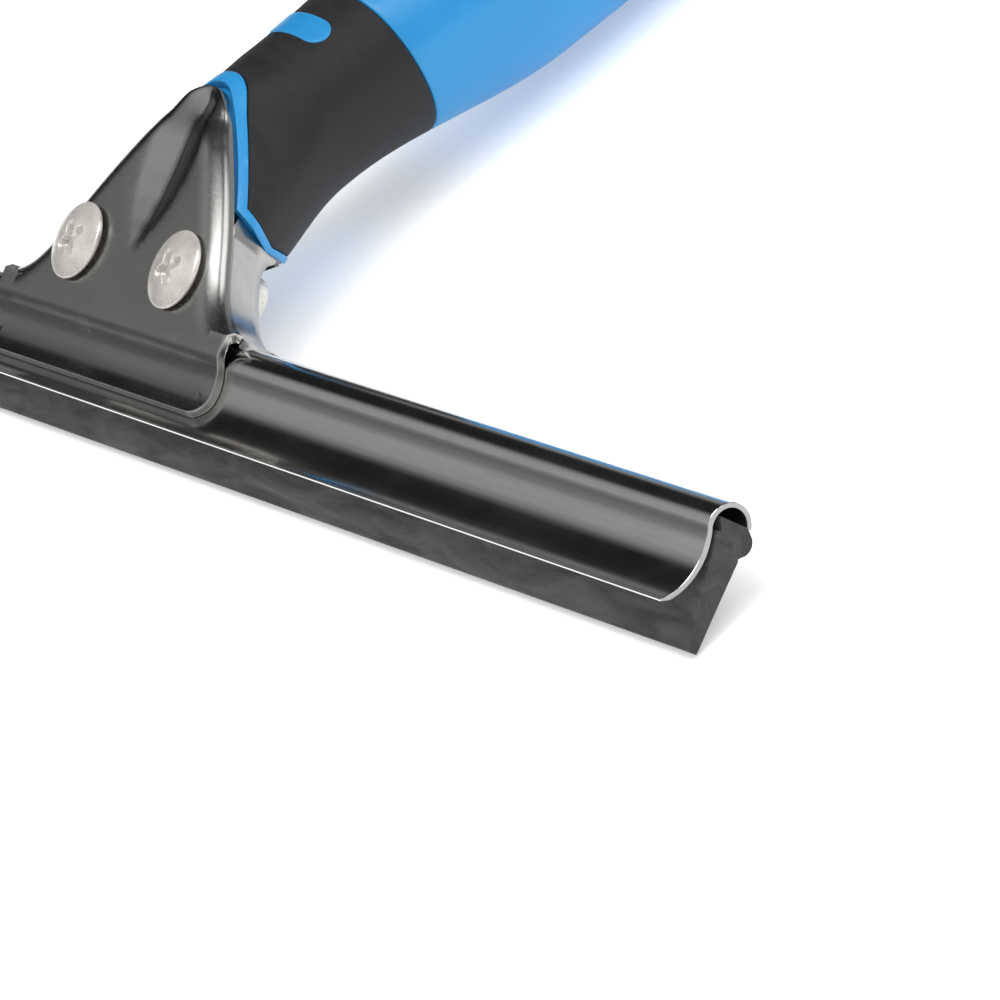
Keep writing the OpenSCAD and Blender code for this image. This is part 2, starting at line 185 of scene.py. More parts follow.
def piece(name, shape, body, material, nodes=(), sharp=32, edit=None):
    me = bpy.data.meshes.new(name)
    me.from_pydata([row(p) for p in shape.v], [], shape.f)
    bm = bmesh.new()
    bm.from_mesh(me)
    bmesh.ops.remove_doubles(bm, verts=bm.verts, dist=2e-6)
    bmesh.ops.dissolve_degenerate(bm, edges=bm.edges, dist=1e-6)
    if edit:
        edit(bm)
    bmesh.ops.recalc_face_normals(bm, faces=bm.faces)
    for f in bm.faces:
        f.smooth = True
    bm.to_mesh(me)
    bm.free()
    me.set_sharp_from_angle(angle=math.radians(sharp))
    ob = bpy.data.objects.new(name, me)
    bpy.context.scene.collection.objects.link(ob)
    me.materials.append(material)
    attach(ob, body)
    if nodes:
        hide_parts(*nodes)
    return ob


def inside(poly, pts):
    """Which points lie inside a closed outline."""
    x, y = pts[:, 0], pts[:, 1]
    res = np.zeros(len(pts), bool)
    a, b = poly, np.roll(poly, -1, 0)
    for (x1, y1), (x2, y2) in zip(a, b):
        if y1 != y2:
            hit = ((y1 > y) != (y2 > y)) & (x < (x2 - x1) * (y - y1) / (y2 - y1) + x1)
            res ^= hit
    return res


def fill(outline, holes=(), lines=(), step=1.0, rows=()):
    """Triangles over an outline in a plane, with holes, crease lines and rows, on a regular grid."""
    loops = [np.array(outline, float)] + [np.array(h, float) for h in holes]
    fixed = np.vstack(loops + [np.array(l, float) for l in lines]) if lines else np.vstack(loops)
    lo, hi = loops[0].min(0), loops[0].max(0)
    xs = np.arange(lo[0] + step / 2, hi[0], step)
    ys = list(np.arange(lo[1] + step / 2, hi[1], step))
    if len(rows):
        ys = sorted(list(rows) + [y for y in ys if y > max(rows) + step / 2])
    g = np.array([(x, y) for y in ys for x in xs])
    g = g[inside(loops[0], g)]
    for h in loops[1:]:
        g = g[~inside(h, g)]
    keep = np.ones(len(g), bool)
    for p in fixed:
        keep &= ((g - p) ** 2).sum(1) > (0.35 * step) ** 2
    for loop in loops:
        for p, q in zip(loop, np.roll(loop, -1, 0)):
            d = q - p
            t = np.clip(((g - p) @ d) / max(d @ d, 1e-12), 0, 1)
            keep &= ((g - p - t[:, None] * d) ** 2).sum(1) > (0.3 * step) ** 2
    g = g[keep]
    pts, edges, n = [], [], 0
    for loop in loops:
        k = len(loop)
        pts += [Vector(p) for p in loop]
        edges += [(n + i, n + (i + 1) % k) for i in range(k)]
        n += k
    for line in lines:
        k = len(line)
        pts += [Vector(p) for p in line]
        edges += [(n + i, n + i + 1) for i in range(k - 1)]
        n += k
    pts += [Vector(p) for p in g]
    v, _, f, _, _, _ = delaunay_2d_cdt(pts, edges, [], 0, 1e-6)
    v = np.array([tuple(p) for p in v])
    tri = np.array([t for t in f])
    mid = v[tri].mean(1)
    ok = inside(loops[0], mid)
    for h in loops[1:]:
        ok &= ~inside(h, mid)
    return v, tri[ok]


def normals_2d(poly):
    """Outward miter normals of a counter-clockwise outline."""
    p = np.array(poly, float)
    d0 = p - np.roll(p, 1, 0)
    d1 = np.roll(p, -1, 0) - p
    d0 /= np.linalg.norm(d0, axis=1)[:, None]
    d1 /= np.linalg.norm(d1, axis=1)[:, None]
    n0 = np.stack([d0[:, 1], -d0[:, 0]], 1)
    n1 = np.stack([d1[:, 1], -d1[:, 0]], 1)
    m = n0 + n1
    m /= np.linalg.norm(m, axis=1)[:, None]
    return m / np.clip((m * n0).sum(1), 0.6, 1)[:, None]


def resample(poly, step, closed=True):
    """Even points along an outline."""
    p = np.array(poly, float)
    q = np.vstack([p, p[:1]]) if closed else p
    d = np.r_[0, np.cumsum(np.linalg.norm(np.diff(q, axis=0), axis=1))]
    n = max(int(round(d[-1] / step)), 3)
    t = np.linspace(0, d[-1], n + 1)[:-1] if closed else np.linspace(0, d[-1], n + 1)
    return np.stack([np.interp(t, d, q[:, i]) for i in range(2)], 1)


def bezier(p, n):
    p = np.array(p, float)
    t = np.linspace(0, 1, n + 1)[:, None]
    return (1 - t) ** 3 * p[0] + 3 * t * (1 - t) ** 2 * p[1] + 3 * t * t * (1 - t) * p[2] + t ** 3 * p[3]


def arc(c, r, a0, a1, n):
    turns = np.radians(np.linspace(a0, a1, n + 1))
    return [(c[0] + r * math.cos(t), c[1] + r * math.sin(t)) for t in turns]


def rounded(points, n=5):
    """A closed outline from corners (y, z, radius)."""
    out = []
    k = len(points)
    for i in range(k):
        p, a, b = (Vector(points[j % k][:2]) for j in (i, i - 1, i + 1))
        r = points[i][2]
        if r <= 0:
            out.append(tuple(p))
            continue
        u, w = (a - p).normalized(), (b - p).normalized()
        half = math.acos(max(-1, min(1, u.dot(w)))) / 2
        cut = min(r / math.tan(half), (a - p).length * 0.49, (b - p).length * 0.49)
        r = cut * math.tan(half)
        c = p + (u + w).normalized() * (r / math.sin(half))
        s0, s1 = p + u * cut - c, p + w * cut - c
        ang = s0.angle_signed(s1)
        for j in range(n + 1):
            out.append(tuple(c + Matrix.Rotation(-ang * j / n, 2) @ s0))
    return out


# ---------------------------------------------------------------- materials
def new_material(name):
    m = bpy.data.materials.new(name)
    m.use_nodes = True
    nt = m.node_tree
    bsdf = nt.nodes["Principled BSDF"]
    return m, nt, bsdf


class Nodes:
    """Short calls for building a node tree."""

    def __init__(self, nt):
        self.nt = nt

    def node(self, kind, **props):
        n = self.nt.nodes.new(kind)
        for k, v in props.items():
            if k in n.inputs:
                n.inputs[k].default_value = v
            else:
                setattr(n, k, v)
        return n

    def link(self, a, b):
        self.nt.links.new(a, b)

    def coords(self, scale, turn=0.0):
        """The piece's own place in mm, turned about X into the head's frame, and scaled per axis."""
        tc = self.node("ShaderNodeTexCoord")
        turned = self.node("ShaderNodeMapping")
        turned.inputs["Rotation"].default_value = (turn, 0, 0)
        turned.inputs["Scale"].default_value = (1000, 1000, 1000)
        self.link(tc.outputs["Object"], turned.inputs["Vector"])
        sized = self.node("ShaderNodeMapping")
        sized.inputs["Scale"].default_value = scale
        self.link(turned.outputs["Vector"], sized.inputs["Vector"])
        return sized.outputs["Vector"]

    def noise(self, vec, scale=1.0, detail=3.0, rough=0.55, distortion=0.0):
        n = self.node("ShaderNodeTexNoise")
        n.inputs["Scale"].default_value = scale
        n.inputs["Detail"].default_value = detail
        n.inputs["Roughness"].default_value = rough
        n.inputs["Distortion"].default_value = distortion
        self.link(vec, n.inputs["Vector"])
        return n.outputs["Fac"]

    def ramp(self, fac, stops):
        r = self.node("ShaderNodeValToRGB")
        el = r.color_ramp.elements
        while len(el) < len(stops):
            el.new(0.5)
        for e, (pos, col) in zip(el, stops):
            e.position = pos
            e.color = (col, col, col, 1) if isinstance(col, (int, float)) else (*col, 1)
        self.link(fac, r.inputs["Fac"])
        return r.outputs["Color"]

    def remap(self, fac, a, b, lo=0.3, hi=0.7):
        r = self.node("ShaderNodeMapRange")
        for k, v in (("From Min", lo), ("From Max", hi), ("To Min", a), ("To Max", b)):
            r.inputs[k].default_value = v
        self.link(fac, r.inputs["Value"])
        return r.outputs["Result"]

    def mix(self, fac, a, b):
        m = self.node("ShaderNodeMix", data_type="RGBA")
        if isinstance(fac, (int, float)):
            m.inputs[0].default_value = fac
        else:
            self.link(fac, m.inputs[0])
        for sock, v in ((m.inputs[6], a), (m.inputs[7], b)):
            if isinstance(v, tuple):
                sock.default_value = (*v, 1)
            else:
                self.link(v, sock)
        return m.outputs[2]

    def math(self, op, a, b=0.0):
        m = self.node("ShaderNodeMath", operation=op)
        for sock, v in ((m.inputs[0], a), (m.inputs[1], b)):
            if isinstance(v, (int, float)):
                sock.default_value = v
            else:
                self.link(v, sock)
        return m.outputs[0]

    def bump(self, height, strength, distance, onto=None):
        b = self.node("ShaderNodeBump")
        b.inputs["Strength"].default_value = strength
        b.inputs["Distance"].default_value = distance
        self.link(height, b.inputs["Height"])
        if onto is not None:
            self.link(onto, b.inputs["Normal"])
        return b.outputs["Normal"]

    def edge_wear(self, lo=0.52, hi=0.6):
        g = self.node("ShaderNodeNewGeometry")
        return self.remap(g.outputs["Pointiness"], 0.0, 1.0, lo, hi)


HEAD_TURN = REST_TILT


def paint_shade_on_x_faces(n, base, share):
    """The base colour with painted shade: darker by a share on faces turned square to X, such as the strip's
    cut ends and the handle's sides.
    """
    flat = n.node("ShaderNodeVectorMath")
    flat.operation = "DOT_PRODUCT"
    flat.inputs[1].default_value = (1, 0, 0)
    n.link(n.node("ShaderNodeTexCoord").outputs["Normal"], flat.inputs[0])
    x_face_shade = n.remap(n.math("ABSOLUTE", flat.outputs["Value"], 0.0), 0, share, 0.8, 0.95)
    return n.mix(x_face_shade, base, (0.01, 0.01, 0.01))


def steel(name, tint, rough, streak, mottle, cut=0.0):
    """Bright sheet steel: rolling lines along X, faint smudges, brighter worn edges."""
    m, nt, b = new_material(name)
    n = Nodes(nt)
    lines = n.noise(n.coords((0.02, 2.6, 2.6), HEAD_TURN), 1.0, 5, 0.6)
    fine = n.noise(n.coords((0.12, 14, 14), HEAD_TURN), 1.0, 2, 0.5)
    smudge = n.noise(n.coords((0.06, 0.09, 0.09), HEAD_TURN), 1.0, 4, 0.6, 0.6)
    both = n.math("ADD", n.math("MULTIPLY", lines, 0.6), n.math("MULTIPLY", fine, 0.4))
    base = n.mix(n.remap(smudge, 0, mottle), tint, tuple(c * 0.86 for c in tint))
    base = n.mix(n.math("MULTIPLY", n.remap(both, 0, 1), streak), base, tuple(min(1, c * 1.12) for c in tint))
    base = n.mix(n.math("MULTIPLY", n.edge_wear(), 0.35), base, (0.80, 0.80, 0.79))
    # cut is the share of painted shade on faces turned square to X, such as the channel's ends
    if cut:
        base = paint_shade_on_x_faces(n, base, cut)
    n.link(base, b.inputs["Base Color"])
    r = n.math("ADD", n.remap(both, rough * 0.82, rough * 1.2), n.remap(smudge, -0.03, 0.05))
    n.link(r, b.inputs["Roughness"])
    n.link(n.bump(both, 0.06, 0.0001), b.inputs["Normal"])
    b.inputs["Metallic"].default_value = 1.0
    return m


def plated(name):
    """Plated screws and washers: smoother, slightly warm, with tiny pits."""
    m, nt, b = new_material(name)
    n = Nodes(nt)
    pits = n.noise(n.coords((2.2, 2.2, 2.2)), 1.0, 4, 0.6)
    smudge = n.noise(n.coords((0.35, 0.35, 0.35)), 1.0, 3, 0.5)
    base = n.mix(n.remap(smudge, 0, 1), (0.74, 0.71, 0.66), (0.56, 0.54, 0.51))
    base = n.mix(n.math("MULTIPLY", n.edge_wear(), 0.4), base, (0.96, 0.95, 0.92))
    n.link(base, b.inputs["Base Color"])
    n.link(n.remap(pits, 0.16, 0.32), b.inputs["Roughness"])
    n.link(n.bump(pits, 0.05, 0.0001), b.inputs["Normal"])
    b.inputs["Metallic"].default_value = 0.4
    return m


def blue_plastic(name):
    """Moulded blue plastic: satin, with a fine spark-eroded grain and slightly paler worn edges."""
    m, nt, b = new_material(name)
    n = Nodes(nt)
    grain = n.noise(n.coords((5.5, 5.5, 5.5)), 1.0, 3, 0.6)
    cloud = n.noise(n.coords((0.05, 0.05, 0.05)), 1.0, 3, 0.5)
    base = n.mix(n.remap(cloud, 0, 1), (0.010, 0.235, 0.54), (0.012, 0.262, 0.59))
    base = n.mix(n.math("MULTIPLY", n.edge_wear(), 0.3), base, (0.10, 0.42, 0.80))
    n.link(base, b.inputs["Base Color"])
    n.link(n.math("ADD", n.remap(grain, 0.30, 0.42), n.remap(cloud, -0.03, 0.03)), b.inputs["Roughness"])
    n.link(n.bump(grain, 0.08, 0.00012), b.inputs["Normal"])
    b.inputs["Coat Weight"].default_value = 0.12
    b.inputs["Coat Roughness"].default_value = 0.25
    return m


def black_rubber(name, dark, light, rough, bloom, grain_scale):
    """Black rubber: fine moulded grain, and a grey bloom where it has been handled."""
    m, nt, b = new_material(name)
    n = Nodes(nt)
    grain = n.noise(n.coords((grain_scale,) * 3), 1.0, 3, 0.65)
    cloud = n.noise(n.coords((0.05, 0.3, 0.3), HEAD_TURN), 1.0, 5, 0.65, 0.8)
    base = n.mix(n.math("MULTIPLY", n.remap(cloud, 0, 1, 0.38, 0.72), bloom), dark, light)
    # painted shade: faces turned square to X, such as the blade's ends and the handle's sides, are made
    # darker
    base = paint_shade_on_x_faces(n, base, 0.5)
    n.link(base, b.inputs["Base Color"])
    spread = n.math("ADD", n.remap(grain, rough - 0.06, rough + 0.08), n.remap(cloud, -0.04, 0.05))
    n.link(spread, b.inputs["Roughness"])
    n.link(n.bump(grain, 0.14, 0.00015), b.inputs["Normal"])
    b.inputs["Specular IOR Level"].default_value = 0.4
    return m


CHANNEL_STEEL = steel("channel_steel", (0.74, 0.735, 0.72), 0.13, 0.5, 1.0, 0.55)
JAW_STEEL = steel("jaw_steel", (0.40, 0.397, 0.388), 0.22, 0.35, 1.0)
FASTENER = plated("fastener_steel")
BLUE = blue_plastic("blue_plastic")
GRIP = black_rubber("grip_rubber", (0.011, 0.011, 0.012), (0.024, 0.024, 0.025), 0.60, 0.6, 7.0)
BLADE = black_rubber("blade_rubber", (0.044, 0.046, 0.048), (0.115, 0.120, 0.124), 0.60, 1.0, 4.0)
SOCKET = black_rubber("socket_plastic", (0.035, 0.035, 0.037), (0.055, 0.055, 0.057), 0.45, 0.5, 5.0)


# ---------------------------------------------------------------- the channel
def channel_section(thin, trim):
    """Closed section of the channel's sheet, half as thick less thin, its lips cut back by trim."""
    h = SHEET / 2 - thin
    mids, outs = [], []
    t_deg = math.degrees(trim / LOOP_R)
    for a in np.linspace(LIP_ANGLE + t_deg, 180 + JOIN, 64):
        r = math.radians(a)
        mids.append((LOOP_C[0] + LOOP_R * math.cos(r), LOOP_C[1] + LOOP_R * math.sin(r)))
        outs.append((math.cos(r), math.sin(r)))
    t_deg = math.degrees(trim / FLANGE_R)
    for a in np.linspace(JOIN, -TIP_ANGLE + t_deg, 56)[1:]:
        r = math.radians(a)
        mids.append((FLANGE_C[0] + FLANGE_R * math.cos(r), FLANGE_C[1] + FLANGE_R * math.sin(r)))
        outs.append((-math.cos(r), -math.sin(r)))
    mids, outs = np.array(mids), np.array(outs)
    first, last = mids[0] - mids[1], mids[-1] - mids[-2]
    first, last = first / np.linalg.norm(first), last / np.linalg.norm(last)

    def lip(p, out, along):
        rounding = ((1, -1), (0.93, -0.4), (0.72, 0), (0, 0), (-0.72, 0), (-0.93, -0.4), (-1, -1))
        return [p + out * (h * k) + along * (c * 0.16) for k, c in rounding]

    def worn(p):
        """How far the flange's back is dressed away towards its lip."""
        return 1.1 * h * (1 - smooth(np.linalg.norm(p - mids[-1]) / 1.6))

    loop = lip(mids[0], outs[0], first)[::-1]
    loop += [m + o * h for m, o in zip(mids[2:-2], outs[2:-2])]
    end = lip(mids[-1], outs[-1], last)
    spare = 1 - worn(mids[-1]) / (2 * h)
    top_point = mids[-1] + outs[-1] * h
    loop += [top_point + (q - top_point) * spare for q in end]
    loop += [m - o * (h - worn(m)) for m, o in zip(mids[2:-2][::-1], outs[2:-2][::-1])]
    return loop


def extrusion(sections):
    """A solid from (x, section) pairs, capped at both ends."""
    sh = Shape()
    sh.rings([[(x, p[0], p[1]) for p in sec] for x, sec in sections], cap0=True, cap1=True)
    return sh


full, eased = channel_section(0, 0), channel_section(0.1, 0.1)
near = (0.12, 0.16, 0.22, 0.35, 0.6, 1.2, 2.5)
stations = [-CHANNEL_HALF + e for e in near] + list(np.linspace(-CHANNEL_HALF + 6, CHANNEL_HALF - 6, 30))
stations += [CHANNEL_HALF - e for e in near[::-1]]
channel = extrusion([(-CHANNEL_HALF, eased)] + [(x, full) for x in stations] + [(CHANNEL_HALF, eased)])
piece("channel_steel", channel, "channel", CHANNEL_STEEL, ["channel"], sharp=40)

# ---------------------------------------------------------------- the rubber blade
BLADE_HALF = CHANNEL_HALF + 0.5
TIP_Z = 0.02


def blade_section(wave, ease):
    e = ease
    head = arc(LOOP_C, 2.82 - e, 22, 158, 14)
    head = [(y, min(z, LOOP_C[1] + 1 - e)) for y, z in head]
    bead = arc((0.38, 16.95), 2.0 - e, -62, 44, 14)
    rest = rounded([(-4.75 + e, 18.3, 0.8), (-3.7 + e, 15, 2), (-3.35 + e, 12, 3), (-2.9 + e, 8.5, 3),
                    (-1.95 + e, 4.5, 3), (-1.15 + e + wave, TIP_Z + e, 0.12),
                    (0.32 - e + wave, TIP_Z + e, 0.12), (0.75 - e, 8.5, 3),
                    (1.1 - e, 14.6, 0.4)])
    loop = rest + bead
    keep = []
    for p in loop + [h for h in head if h[1] > LOOP_C[1] + 0.4]:
        if not keep or (Vector(p) - Vector(keep[-1])).length > 0.02:
            keep.append(p)
    return keep


def wave_at(x):
    return 0.05 * math.sin(x * 0.11) + 0.035 * math.sin(x * 0.043 + 1.2) + 0.02 * math.sin(x * 0.31 + 0.4)


xs = [-BLADE_HALF + 0.1] + list(np.linspace(-BLADE_HALF + 1.5, BLADE_HALF - 1.5, 140)) + [BLADE_HALF - 0.1]
blade = extrusion([(-BLADE_HALF, blade_section(wave_at(-BLADE_HALF), 0.07))]
                  + [(x, blade_section(wave_at(x), 0)) for x in xs]
                  + [(BLADE_HALF, blade_section(wave_at(BLADE_HALF), 0.07))])
piece("rubber_blade_strip", blade, "blade", BLADE, ["rubber_blade"], sharp=40)


# ---------------------------------------------------------------- stamped sheets
def half_outline(top_cut=None):
    """Right half of the jaws' outline in x and z, from the shoulder up."""
    pts = np.vstack([bezier([(JAW_HALF, 23.3), (31, 24.5), (28, 29.5), (25.5, 33.5)], 26),
                     bezier([(25.5, 33.5), (22.5, 38.8), (16, 48.5), (8.5, 56.5)], 46)[1:],
                     bezier([(8.5, 56.5), (6, 59.5), (3, 61.3), (0, 61.3)], 20)[1:]])
    if top_cut is not None:
        pts = pts[pts[:, 1] < top_cut]
    return pts


OUTLINE = half_outline()


def half_width(z):
    return float(np.interp(z, OUTLINE[:, 1], OUTLINE[:, 0]))


def follow(x, z0, z):
    """A wall's x, kept on the outline when it leans from z0 to z."""
    w0 = half_width(z0)
    return x + math.copysign(min(abs(x) / max(w0, 2.5), 1.0), x) * (half_width(z) - w0)


def end_line(y, rise):
    return NECK[1] + (GRIP_LOW + rise) / math.cos(LEAN) - (y - NECK[0]) * math.tan(LEAN)


def stamped(outline, flange, thick, place, hole_loops=(), lines=(), rows=(), step=1.3, dent=None,
            clamp=None, big=3.4):
    """A closed sheet with rolled edges. outline is counter-clockwise in (x, w). flange gives for each point
    (how much it is a flange 0..1, flange depth, roll's depth, roll's width). place maps (x, w, depth) to the
    head's frame."""
    p = np.array(outline, float)
    nrm = normals_2d(p)
    n = len(p)
    ease, steps = 0.15, 9
    plain_in = [0, 0.05, 0.16, 0.5, 0.9, 1.4, 2.0, 2.7, big]
    plain_dp = [ease, ease * 0.3, 0, 0, 0, 0, 0, 0, 0]
    front, back = [], []
    q = np.array([f[0] for f in flange])[:, None]
    F = np.array([f[1] for f in flange])
    R = np.array([f[2] for f in flange])
    W = np.array([f[3] for f in flange])
    inner, inner_w = np.maximum(R - thick, 0.15), np.maximum(W - thick, 0.15)

    def ring(inset_flange, depth_flange, inset_plain, depth_plain):
        inset = q[:, 0] * inset_flange + (1 - q[:, 0]) * inset_plain
        depth = q[:, 0] * depth_flange + (1 - q[:, 0]) * depth_plain
        return np.hstack([p - nrm * inset[:, None], depth[:, None]])
    front.append(ring(ease, F, 0, thick * 0.5))
    front.append(ring(0 * F, F - ease, 0, thick * 0.35))
    back.append(ring(thick - ease + 0 * F, F, 0, thick * 0.5))
    back.append(ring(thick + 0 * F, F - ease, 0, thick * 0.65))
    for j in range(steps):
        phi = math.pi / 2 * j / (steps - 1)
        c, s = 1 - math.cos(phi), 1 - math.sin(phi)
        extra = np.maximum(big - W, 0) * max(0, (j - 4) / 4)
        front.append(ring(W * c + extra, R * s, plain_in[j], plain_dp[j]))
        back.append(ring(thick + inner_w * c + np.maximum(big - thick - inner_w, 0) * max(0, (j - 4) / 4),
                         thick + inner * s, plain_in[j], thick - plain_dp[j]))
    sh = Shape()

    def lay(pts3, fade):
        out = []
        for x, w, d in pts3:
            if dent:
                d = d + dent(x, w) * fade
            out.append(place(x, w, d))
        if clamp:
            out = [clamp(o) for o in out]
        return out
    fades = [0, 0, 0, 0.02, 0.06, 0.15, 0.3, 0.5, 0.72, 0.9, 1.0]
    sh.rings([lay(r, fades[i]) for i, r in enumerate(front)])
    sh.rings([lay(r, fades[i]) for i, r in enumerate(back)])
    sh.rings([lay(front[0], 0), lay(back[0], 0)])
    for rings, depth in ((front, 0.0), (back, thick)):
        edge = rings[-1][:, :2]
        v, tri = fill(edge, hole_loops, lines, step, rows)
        sh.add(lay([(x, w, depth) for x, w in v], 1.0), [tuple(t) for t in tri])
    for loop in hole_loops:
        sh.rings([lay([(x, w, 0.0) for x, w in loop], 1.0), lay([(x, w, thick) for x, w in loop], 1.0)])
    return sh


# front jaw: w is the height on the flat face, and runs on down round the heel and the lip
LIP_LEN = (LIP_R - PLATE / 2) * math.radians(HEEL_ANGLE + 30)
HEEL_LEN = (HEEL_R + PLATE / 2) * math.radians(HEEL_ANGLE)
HEEL_Z = HEEL_C[1]
BEND_R = 16.0


def bent(w, start_z, total, radius, y0, sign):
    """Place and slope of a face that is flat up to a bend and then leans by total."""
    mid = radius * math.tan(total / 2)
    a = start_z - mid
    if w <= a:
        return y0, w, 0.0
    turn = min((w - a) / radius, total)
    y = y0 + sign * radius * (1 - math.cos(turn))
    z = a + radius * math.sin(turn)
    rest = (w - a) - radius * turn
    return y + sign * rest * math.sin(turn), z + rest * math.cos(turn), turn


def front_place(x, w, d):
    if w >= HEEL_Z:
        y, z, t = bent(w, BEND_Z, BEND, BEND_R, FACE_Y, 1)
        return (follow(x, z, z - d * math.sin(t)), y + d * math.cos(t), z - d * math.sin(t))
    run = HEEL_Z - w
    if run <= HEEL_LEN:
        a = math.radians(180 + math.degrees(run / (HEEL_R + PLATE / 2)))
        r = HEEL_R + PLATE / 2 - d
        return (x, HEEL_C[0] + r * math.cos(a), HEEL_C[1] + r * math.sin(a))
    a = math.radians(HEEL_ANGLE) - (run - HEEL_LEN) / (LIP_R - PLATE / 2)
    r = LIP_R - PLATE / 2 + d
    return (x, FLANGE_C[0] + r * math.cos(a), FLANGE_C[1] + r * math.sin(a))


GROOVE_Z = [31.0, 34.0, 37.0, 41.0, 46.0, 50.0, 54.0, 58.0, 62.5]
groove_half = table(GROOVE_Z, [0.25, 2.4, 4.4, 6.2, 7.4, 7.6, 6.9, 5.6, 4.0])
groove_deep = table(GROOVE_Z, [0.0, 0.45, 1.0, 1.5, 1.8, 1.85, 1.8, 1.6, 1.1])


def groove(x, w):
    if w < GROOVE_Z[0]:
        return 0.0
    h = groove_half(w)
    t = 1 - abs(x) / h
    k = 0.07
    soft = 0.5 * (t + math.sqrt(t * t + 4 * k * k)) if t < 0.6 else t + k * k / t
    return groove_deep(w) * max(0.0, soft - 0.0) if t > -0.5 else 0.0


def jaw_loop(half, low, corner):
    """Counter-clockwise outline from its right half, closed below at w = low with rounded corners."""
    w = half[0][0]
    right = [(w - corner, low)] + arc((w - corner, low + corner), corner, -90, 0, 10)[1:]
    side = [(w, y) for y in np.linspace(low + corner, half[0][1], 14)[1:-1]]
    r = right + side + [tuple(p) for p in half]
    left = [(-x, y) for x, y in r[::-1]]
    if abs(left[0][0] - r[-1][0]) < 1e-6:
        left = left[1:]
    bottom = [(x, low) for x in np.linspace(-(w - corner), w - corner, 60)[1:-1]]
    return np.array(r + left + bottom)


half = half_outline()
half[:, 1] = np.where(half[:, 1] > BEND_Z, BEND_Z + (half[:, 1] - BEND_Z) / math.cos(BEND), half[:, 1])
jaw = jaw_loop(half, HEEL_Z - HEEL_LEN - LIP_LEN, 4.0)


def front_flange(x, w):
    y, z, t = bent(w, BEND_Z, BEND, BEND_R, FACE_Y, 1)
    depth = (SEAM_Y - y) / math.cos(t)
    q = smooth((depth - 1.5) / 1.3) * smooth((w - 22.6) / 0.9)
    if abs(x) > JAW_HALF - 0.01:
        q = 0.0 if w < 23.0 else q * 0.5
    return q, depth, min(3.3, max(depth * 0.94, 0.4)), min(4.8, max(depth * 1.4, 0.4))


def front_clamp(p):
    return (p[0], min(p[1], SEAM_Y + 0.05), p[2]) if p[2] > 22.3 else p


HOLE_R = 3.4
round_turn = np.linspace(0, 2 * math.pi, 41)[:-1]
screw_holes = [[(sx * SCREW_X + HOLE_R * math.cos(t), SCREW_Z + HOLE_R * math.sin(t)) for t in round_turn]
               for sx in (-1, 1)]
crease = [(0.0, z) for z in np.arange(31.0, 58.0, 0.8)]
edges = [[(sx * groove_half(z), z) for z in np.arange(32.5, 52.0, 0.8)] for sx in (-1, 1)]
low_rows = list(np.linspace(HEEL_Z - HEEL_LEN - LIP_LEN + 0.5, HEEL_Z + 0.6, 26))
front_jaw = stamped(jaw, [front_flange(x, w) for x, w in jaw], PLATE, front_place, screw_holes,
                    [crease] + edges, low_rows, 1.2, groove, front_clamp, 4.9)
piece("front_jaw_plate", front_jaw, "jaw", JAW_STEEL, ["front_jaw"], sharp=38)

# rear jaw: faces the back, its side walls reach forward to the seam
REAR_TOP = END_Z - LAY


def rear_place(x, w, d):
    y, z, t = bent(w, REAR_BEND_Z, REAR_BEND, 4.0, REAR_Y, 1)
    return (follow(x, z, z + d * math.sin(t)), y - d * math.cos(t), z + d * math.sin(t))


rear_half = half_outline(REAR_TOP)
rear_n = normals_2d(np.vstack([rear_half, [[0, 30]]]))[:len(rear_half)]
rear_half = rear_half - rear_n * 0.5
rear_half[0] = (JAW_HALF - 0.5, 22.8)
unbent = REAR_BEND_Z + (rear_half[:, 1] - REAR_BEND_Z) / math.cos(REAR_BEND)
rear_half[:, 1] = np.where(rear_half[:, 1] > REAR_BEND_Z, unbent, rear_half[:, 1])
wtop = rear_half[-1]
top = [(x, wtop[1]) for x in np.linspace(wtop[0], -wtop[0], 34)[1:-1]]
REAR_LOW = 18.9
r_side = [(JAW_HALF - 1.5, REAR_LOW)] + arc((JAW_HALF - 1.5, 19.9), 1.0, -90, 0, 6)[1:]
r_side += [(JAW_HALF - 0.5, 21.3)] + [tuple(p) for p in rear_half]
bottom = [(x, REAR_LOW) for x in np.linspace(-JAW_HALF + 1.5, JAW_HALF - 1.5, 60)[1:-1]]
rear = np.array(r_side + top + [(-x, y) for x, y in r_side[::-1]] + bottom)


def rear_flange(x, w):
    y, z, t = bent(w, REAR_BEND_Z, REAR_BEND, 4.0, REAR_Y, 1)
    q = smooth((w - 21.9) / 0.8) if abs(x) < JAW_HALF - 0.6 else 0.0
    if w > wtop[1] - 0.01:
        q = 0.0
    depth = (y - SEAM_Y - 0.25) / math.cos(t)
    if t > 0.3:
        flat = (REAR_TOP - z) / math.sin(t)
        if y - flat * math.cos(t) < 2.58:
            slope = max(math.sin(t) - math.tan(LEAN) * math.cos(t), 0.02)
            flat = (end_line(0, -LAY) - math.tan(LEAN) * y - z) / slope
            flat = flat if flat > 0 else depth
        depth = min(depth, max(flat, 0.2))
    q *= smooth((depth - 0.6) / 1.2)
    return q, depth, min(3.0, max(depth * 0.9, 0.4)), min(3.0, max(depth * 0.9, 0.4))


def rear_clamp(p):
    return (p[0], max(p[1], SEAM_Y + 0.25), p[2]) if p[2] > 21 else p


